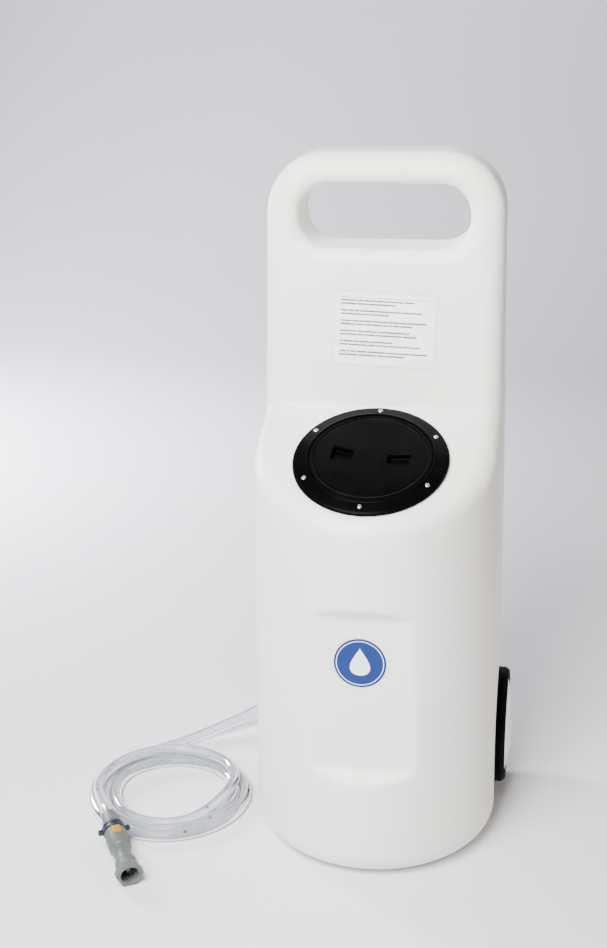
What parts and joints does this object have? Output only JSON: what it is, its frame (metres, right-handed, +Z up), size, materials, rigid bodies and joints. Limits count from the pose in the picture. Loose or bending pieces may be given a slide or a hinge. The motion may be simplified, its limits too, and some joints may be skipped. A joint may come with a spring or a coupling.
{
  "type": "watering cart",
  "caption": "Upright tank on wheels with a moulded grab handle, a round screw-in filler lid, a battery pump behind a rear cover, and a clear hose with a quick coupling.",
  "frame": {"origin": "centre of the cart's box in plan at floor height, with the free hose and its coupling left out", "axes": "+Z up, the front with the filler lid faces -Y, +X is to the right of someone who looks at the front"},
  "size_m": [0.6163, 0.4797, 0.942],
  "materials": {
    "natural_polyethylene": "satin, slightly translucent natural polyethylene",
    "plated_steel": "zinc plated",
    "stainless_steel": "bright",
    "tyre_rubber": "dull",
    "wheel_plastic": "semi-gloss",
    "hub_cap_plastic": "semi-gloss",
    "seal_rubber": "dull",
    "black_plastic": "satin",
    "label_film": "clear laminate over pale grey print",
    "badge_film": "blue print with a white drop",
    "cover_plastic": "fine grain",
    "red_plastic": "gloss",
    "battery_plastic": "plain",
    "cable_sheath": "smooth",
    "motor_steel": "semi-gloss",
    "fitting_plastic": "plain",
    "clear_hose": "clear flexible vinyl",
    "coupling_grey": "satin",
    "coupling_blue": "satin",
    "button_yellow": "satin"
  },
  "bodies": {
    "tank": {"tank_shell": "natural_polyethylene", "axle": "plated_steel", "left_push_nut": "plated_steel", "right_push_nut": "plated_steel", "filler_gasket": "seal_rubber", "filler_ring": "black_plastic", "filler_screw_1": "stainless_steel", "filler_screw_2": "stainless_steel", "filler_screw_3": "stainless_steel", "filler_screw_4": "stainless_steel", "filler_screw_5": "stainless_steel", "filler_screw_6": "stainless_steel", "instruction_label": "label_film", "front_badge": "badge_film", "rear_cover": "cover_plastic", "rear_cover_gasket": "seal_rubber", "rear_cover_screw_1": "stainless_steel", "rear_cover_screw_2": "stainless_steel", "rear_cover_screw_3": "stainless_steel", "rear_cover_screw_4": "stainless_steel", "power_switch_housing": "black_plastic", "charge_socket": "black_plastic", "charge_socket_nut": "plated_steel", "battery": "battery_plastic", "battery_bar": "plated_steel", "battery_bar_screw_1": "stainless_steel", "battery_bar_screw_2": "stainless_steel", "battery_cable": "cable_sheath", "pump_cable": "cable_sheath", "pump_plate": "plated_steel", "pump_screw_1": "stainless_steel", "pump_screw_2": "stainless_steel", "pump_motor": "motor_steel", "pump_head": "black_plastic", "suction_fitting": "fitting_plastic", "suction_hose": "clear_hose", "dip_tube": "fitting_plastic", "outlet_hose_inner": "clear_hose", "outlet_nut": "black_plastic", "outlet_elbow": "black_plastic", "outlet_clamp": "stainless_steel", "hose_lead": "clear_hose", "hose_coil": "clear_hose", "hose_tail": "clear_hose", "coupling_ferrule": "coupling_grey", "coupling_clamp": "coupling_blue", "coupling_body": "coupling_grey", "coupling_seal": "seal_rubber"},
    "left_wheel": {"left_tyre": "tyre_rubber", "left_rim": "wheel_plastic", "left_hub_cap": "hub_cap_plastic"},
    "right_wheel": {"right_tyre": "tyre_rubber", "right_rim": "wheel_plastic", "right_hub_cap": "hub_cap_plastic"},
    "lid_lift": {"filler_lid_seal": "seal_rubber"},
    "lid": {"filler_lid": "black_plastic"},
    "rocker": {"power_switch_rocker": "red_plastic"},
    "socket_cap": {"charge_cap": "seal_rubber"},
    "button": {"coupling_button": "button_yellow"}
  },
  "joints": [
    {"name": "left_wheel_spin", "type": "hinge", "parent": "tank", "child": "left_wheel", "pos_m": [-0.163, 0.10389, 0.094], "axis": [1, 0, 0], "continuous": true},
    {"name": "right_wheel_spin", "type": "hinge", "parent": "tank", "child": "right_wheel", "pos_m": [0.163, 0.10389, 0.094], "axis": [1, 0, 0], "continuous": true},
    {"name": "lid_lift_off", "type": "slide", "parent": "tank", "child": "lid_lift", "axis": [0, -0.4083, 0.9128], "range_m": [0, 0.06]},
    {"name": "lid_turn", "type": "hinge", "parent": "lid_lift", "child": "lid", "pos_m": [0, -0.07061, 0.5588], "axis": [0, -0.4083, 0.9128], "range_deg": [0, 360]},
    {"name": "power_rocker", "type": "hinge", "parent": "tank", "child": "rocker", "pos_m": [0.045, 0.16569, 0.392], "axis": [1, 0, 0], "range_deg": [0, 18]},
    {"name": "socket_cap_flip", "type": "hinge", "parent": "tank", "child": "socket_cap", "pos_m": [-0.04, 0.17229, 0.4069], "axis": [1, 0, 0], "range_deg": [0, 110]},
    {"name": "coupling_release", "type": "slide", "parent": "tank", "child": "button", "axis": [-0.0628, 0.1093, -0.992], "range_m": [0, 0.0025], "stiffness_N_per_m": 400}
  ]
}
